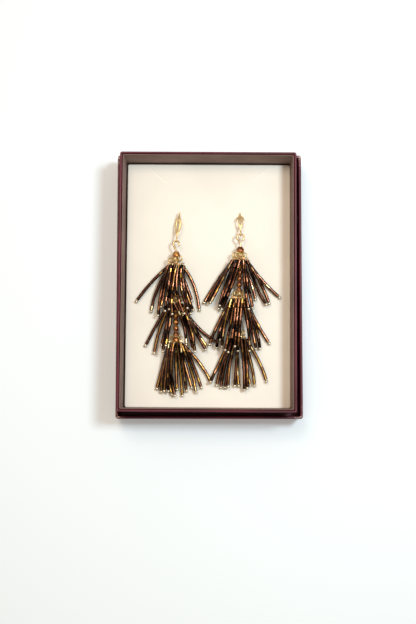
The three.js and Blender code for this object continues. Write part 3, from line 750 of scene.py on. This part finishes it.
# cut beads: a flat table at each end, a girdle of squares and a ring of triangles on each side of it
cutValues = {"facets": 8, "tableShare": 0.55, "girdleShare": 0.16, "beadGap": 0.06, "topBeadLength": 3.9,
             "toneCurve": 1.2}


def cutBead(radius, length, low):
    v = cutValues
    facets, table, band = v["facets"], v["tableShare"] * radius, v["girdleShare"] * length
    heights = [low, low + length / 2 - band, low + length / 2 + band, low + length]
    radii = [table, radius, radius, table]
    j = np.arange(facets)
    after = (j + 1) % facets
    verts = []
    for k, (r, h) in enumerate(zip(radii, heights)):
        angles = 2 * np.pi * (j + (0.5 if k in (1, 2) else 0)) / facets
        verts.append(np.stack([r * np.sin(angles), np.full(facets, h), r * np.cos(angles)], 1))
    here, there = [k * facets + j for k in range(4)], [k * facets + after for k in range(4)]
    lower = np.concatenate([np.stack([here[0], there[0], here[1]], 1),
                            np.stack([there[0], there[1], here[1]], 1)])
    girdle = np.stack([here[1], there[1], there[2], here[2]], 1)
    upper = np.concatenate([np.stack([here[2], there[3], here[3]], 1),
                            np.stack([here[2], there[2], there[3]], 1)])
    tables = np.stack([j[::-1], here[3]])
    # Each facet corner takes a random tone, so the facets differ in colour; the bright tones are painted
    # glints that make the beads glitter
    tone = rng.random(4 * facets) ** v["toneCurve"]
    return part(np.concatenate(verts), [lower, girdle, upper, tables], 0, False, tone)


def columnParts(radius, length, count):
    each, gap = length / count, cutValues["beadGap"]
    return [cutBead(radius, each - gap, k * each + gap / 2) for k in range(count)]


# pin: an open eye, the straight wire and its rounded end
eyeValues = {"wire": 0.37, "pinRadius": 0.35, "endRadius": 0.75, "neckBend": 1.2, "neckFoot": 0.4}


# The eye's wire leaves its circle along the tangent and bends into the pin just above the top bead
def eyePinParts(side):
    v, e, p = eyeValues, earrings[side], pinValues
    angles = np.radians(np.linspace(e["eyeFrom"], e["eyeTo"], 40))
    eye = np.column_stack([e["eyeRadius"] * np.cos(angles), e["eyeRadius"] * np.sin(angles), np.zeros(40)])
    beadTop = e["eyeToCap"] + p["capSink"] - p["seatGap"] - cutValues["topBeadLength"]
    endDown = (e["eyeToCap"] + 2 * p["tierPitch"] + p["columnDown"] + 2 * p["columnRadius"] + p["seatGap"]
               + v["endRadius"])
    leaving = np.array([-np.sin(angles[-1]), np.cos(angles[-1]), 0])
    neck = arc(eye[-1], eye[-1] + leaving * v["neckBend"], [0, v["neckFoot"] - beadTop, 0], 12)[1:]
    run = np.array([[0, -beadTop - 2 * v["neckFoot"], 0], [0, -endDown, 0]])
    path = np.concatenate([eye, neck, run])
    radii = np.concatenate([np.full(len(eye) + len(neck), v["wire"]), np.full(2, v["pinRadius"])])
    ball = lathe([(v["endRadius"] * np.cos(a), v["endRadius"] * np.sin(a) - endDown)
                  for a in np.linspace(-1.45, 1.45, 9)], 14)
    return [sweep(path, radii, 10, (0, 0, 1)), ball]


# hook: a slotted front with swept petals, bent to a bow, the ear wire behind it, and a ring. The left
# one is seen from its edge, and is longer and more deeply bowed, as the fit says.
hookFit = {
    "left": {"long": 1.17, "deep": 1.35, "out": 0.6, "ringUp": 0.5, "ringRadius": 1.15, "ringTurn": -74},
    "right": {"long": 1.0, "deep": 1.0, "out": 0.0, "ringUp": 0.1, "ringRadius": 1.0, "ringTurn": -8},
}
hookValues = {"ringWire": 0.27, "stem": 0.36, "stemStart": 1.9, "plateStart": 3.2, "neckIn": 0.5,
              "slotStart": 4.4, "slotEnd": 9.1, "slotHalf": 0.72, "frameHalf": 1.25,
              "petalRoot": 7.9, "petalLow": 6.9, "petalHalf": 1.95, "shoulder": 10.2,
              "tip": 11.8, "tipHalf": 0.2, "thickness": 0.5, "edgeRound": 0.1,
              "bowStart": 2.4, "bowEnd": 10.2, "bulge": 0.8,
              "backWire": 0.3, "backBulge": 0.9, "backShift": 0.95}
slotMiddle = (hookValues["slotStart"] + hookValues["slotEnd"]) / 2


# Both edges of the plate, from the right half of each and its mirror image
def plateEdges():
    v = hookValues
    stem, border, petal = v["stem"], v["frameHalf"], v["petalHalf"]
    right = np.concatenate([
        [[stem, v["stemStart"]]],
        arc([stem, v["plateStart"]], [border * 0.9, v["slotStart"]], [border, slotMiddle]),
        arc([border * 0.98, v["petalRoot"] + 0.5], [border + 0.25, v["petalRoot"]],
            [petal - 0.1, v["petalLow"]], 6),
        arc([petal, v["petalLow"] + 0.25], [petal, v["petalLow"] + 1.9], [stem, v["shoulder"]]),
        [[0.32, v["shoulder"] + 0.9], [v["tipHalf"], v["tip"]]],
    ])
    slotTurn = np.linspace(0, np.pi, 9)
    slot = np.column_stack([v["slotHalf"] * np.sin(slotTurn),
                            slotMiddle - (v["slotEnd"] - v["slotStart"]) / 2 * np.cos(slotTurn)])
    return [np.concatenate([right, right[::-1] * [-1, 1]]),
            np.concatenate([slot, slot[::-1][1:-1] * [-1, 1]])]


# A flat curve filled between its edges, with rounded borders, read back as a mesh
def flatPlate(edges, thickness, rounding):
    data = bpy.data.curves.new("hookFront", "CURVE")
    data.dimensions = "2D"
    data.fill_mode = "BOTH"
    data.extrude = thickness / 2 - rounding
    data.bevel_depth = rounding
    data.bevel_resolution = 2
    data.offset = -rounding
    for edge in edges:
        spline = data.splines.new("POLY")
        spline.points.add(len(edge) - 1)
        flat = np.column_stack([edge, np.zeros(len(edge)), np.ones(len(edge))]).astype(np.float32)
        spline.points.foreach_set("co", flat.ravel())
        spline.use_cyclic_u = True
    holder = bpy.data.objects.new("hookFront", data)
    mesh = bpy.data.meshes.new_from_object(holder)
    verts = np.empty(len(mesh.vertices) * 3)
    mesh.vertices.foreach_get("co", verts)
    blocks = {}
    for polygon in mesh.polygons:
        blocks.setdefault(len(polygon.vertices), []).append(list(polygon.vertices))
    bpy.data.objects.remove(holder)
    return part(verts.reshape(-1, 3), [np.array(block) for block in blocks.values()])


# The plate is bowed by a parabola along its length, and the wire behind it by a flattened sine
def hookParts(side):
    v, fit = hookValues, hookFit[side]
    front = flatPlate(plateEdges(), v["thickness"], v["edgeRound"])
    bowMiddle, bowReach = (v["bowStart"] + v["bowEnd"]) / 2, (v["bowEnd"] - v["bowStart"]) / 2
    bow = 1 - ((front["verts"][:, 1] - bowMiddle) / bowReach) ** 2
    front["verts"][:, 2] += v["bulge"] * np.maximum(bow, 0)
    back = arc([0, v["bowStart"]], [2 * v["backShift"], slotMiddle], [0, v["bowEnd"]], 15)
    depth = -v["backBulge"] * np.sin(np.linspace(0, np.pi, 15)) ** 0.8
    wire = sweep(np.column_stack([back, depth]), v["backWire"], 8, (1, 0, 0))
    turn = np.linspace(0, 2 * np.pi, 24, endpoint=False)
    ringPath = fit["ringRadius"] * np.column_stack([np.zeros(24), np.cos(turn), np.sin(turn)])
    ring = sweep(ringPath, v["ringWire"], 8, (1, 0, 0), True)
    ring["verts"] = turned(ring["verts"], fit["ringTurn"], 1) + [0, fit["ringUp"], 0]
    neckEnd = v["stemStart"] * fit["long"] + fit["out"] + v["neckIn"]
    neck = sweep([[0, fit["ringUp"] + fit["ringRadius"], 0], [0, neckEnd, 0]], v["stem"], 8, (1, 0, 0))
    stretch, lift = np.array([1, fit["long"], fit["deep"]]), np.array([0, fit["out"], 0])
    return [moved(item, lambda verts: verts * stretch + lift) for item in (front, wire)] + [ring, neck]


# The end bead's own tones are drawn last, after those of a plain one
def buildEarring(side):
    p, eyeToCap, beadLength = pinValues, earrings[side]["eyeToCap"], cutValues["topBeadLength"]

    def place(parts, up):
        return [moved(item, lambda verts: fromPin(verts + [0, up, 0], side)) for item in parts]

    makePiece(f"{side}EyePin", place(eyePinParts(side), 0), [gold], [f"{side}_eye_pin"])
    topBead = place([cutBead(beadLength / 2, beadLength, 0)], p["seatGap"] - p["capSink"] - eyeToCap)
    makePiece(f"{side}TopBead", topBead, [amberGlass], [f"{side}_top_bead"])
    for tier in (1, 2, 3):
        crest = -eyeToCap - (tier - 1) * p["tierPitch"]
        tilt, shift = capLean.get((side, tier), (0, (0, 0, 0)))
        parted = (side, tier) in partedCaps
        cap = [moved(item, lambda verts: turned(verts, tilt, 2) + shift) for item in capParts(parted)]
        makePiece(f"{side}Cap{tier}", place(cap, crest), [findingGold], [f"{side}_cap_{tier}"])
        longColumn = p["tierPitch"] + p["capSink"] - p["columnDown"] - p["seatGap"]
        count, length = (6, longColumn) if tier < 3 else (1, 2 * p["columnRadius"])
        node = f"{side}_bead_column_{tier}" if tier < 3 else f"{side}_end_bead"
        column = place(columnParts(p["columnRadius"], length, count), crest - p["columnDown"] - length)
        if parted:
            bead = cutBead(endBead["radius"], endBead["length"], -endBead["length"])
            bead["verts"] += [0, endBead["up"], endBead["forward"]]
            column = place([bead], crest - p["columnDown"])
        makePiece(f"{side}Column{tier}", column, [amberGlass], [node])
    hook = [moved(item, lambda verts: fromHook(verts, side)) for item in hookParts(side)]
    makePiece(f"{side}EarHook", hook, [findingGold], [f"{side}_ear_hook"])


for side in ("left", "right"):
    buildEarring(side)
print("earrings ready")


# floor, light and camera
studioValues = {"floor": (0.8, 0.92, 1.0), "floorGlow": 0.17, "floorReach": 3,
                "skyColour": (1, 0.83, 0.68), "skyLean": (-0.4, 0.55, 0.0),
                "sky": [(0.0, 0.13), (0.52, 0.185), (0.72, 0.335), (1.0, 0.6)]}
lightValues = {
    "key": {"power": 1.3, "size": 0.1, "place": (0.177, 0.062, 0.461), "colour": (0.88, 0.96, 0.99)},
    "fill": {"power": 0.95, "size": 0.2, "place": (-0.1, 0.18, 0.56), "colour": (1, 0.77, 0.58)},
}
cameraValues = {"place": (0.0019, -0.0509, 0.450), "turn": (5.0, 0.32, 0.06), "sensor": 36,
                "focalPixels": 916.5, "picturePixels": 624}


def addFloor():
    v, reach = studioValues, studioValues["floorReach"]
    mesh = bpy.data.meshes.new("floor")
    mesh.from_pydata([(-reach, -reach, 0), (reach, -reach, 0), (reach, reach, 0), (-reach, reach, 0)], [],
                     [(0, 1, 2, 3)])
    material, tree, shader = newTree("white sheet")
    setSockets(shader, {"Base Color": (*v["floor"], 1), "Roughness": 0.9,
                        "Emission Color": (1, 1, 1, 1), "Emission Strength": v["floorGlow"]})
    mesh.materials.append(material)
    floor = bpy.data.objects.new("floor", mesh)
    bpy.context.scene.collection.objects.link(floor)


# The studio is brighter overhead than at the horizon, and brighter towards the upper left:
# brightness follows the direction's height, times one plus the direction's share along the lean
def addSky():
    v = studioValues
    world = bpy.data.worlds.new("studio")
    world.use_nodes = True
    tree = world.node_tree
    background = tree.nodes["Background"]
    direction = addNode(tree, "ShaderNodeTexCoord").outputs["Generated"]
    axes = addNode(tree, "ShaderNodeSeparateXYZ")
    tree.links.new(direction, axes.inputs[0])
    height = stretched(tree, axes.outputs["Z"], (-1.0, 1.0))
    sky = ramp(tree, height, [(at, tuple(power * c for c in v["skyColour"])) for at, power in v["sky"]])
    tree.links.new(sky, background.inputs["Color"])
    sideways = addNode(tree, "ShaderNodeVectorMath", operation="DOT_PRODUCT")
    sideways.inputs[1].default_value = v["skyLean"]
    tree.links.new(direction, sideways.inputs[0])
    strength = addNode(tree, "ShaderNodeMath", operation="ADD")
    strength.inputs[1].default_value = 1.0
    tree.links.new(sideways.outputs["Value"], strength.inputs[0])
    tree.links.new(strength.outputs[0], background.inputs["Strength"])
    bpy.context.scene.world = world


def addLight(name, power, size, place, colour):
    data = bpy.data.lights.new(name, "AREA")
    data.shape = "DISK"
    data.size, data.energy, data.color = size, power, colour
    light = bpy.data.objects.new(name, data)
    light.location = place
    light.rotation_euler = (Vector((0, 0, 0.01)) - light.location).to_track_quat("-Z", "Y").to_euler()
    bpy.context.scene.collection.objects.link(light)


# The lens follows from the focal length in pixels of the picture's longer side
def addCamera():
    v = cameraValues
    data = bpy.data.cameras.new("camera")
    data.sensor_width = v["sensor"]
    data.lens = v["focalPixels"] * v["sensor"] / v["picturePixels"]
    data.clip_start = 0.01
    camera = bpy.data.objects.new("camera", data)
    camera.location = v["place"]
    camera.rotation_euler = np.radians(v["turn"])
    bpy.context.scene.collection.objects.link(camera)
    bpy.context.scene.camera = camera


addFloor()
addSky()
bpy.context.scene.view_settings.view_transform = "Standard"
# The key comes from the right, small and high; the fill from the upper left, broad and warm
for name, values in lightValues.items():
    addLight(name, **values)
addCamera()

print("scene ready")
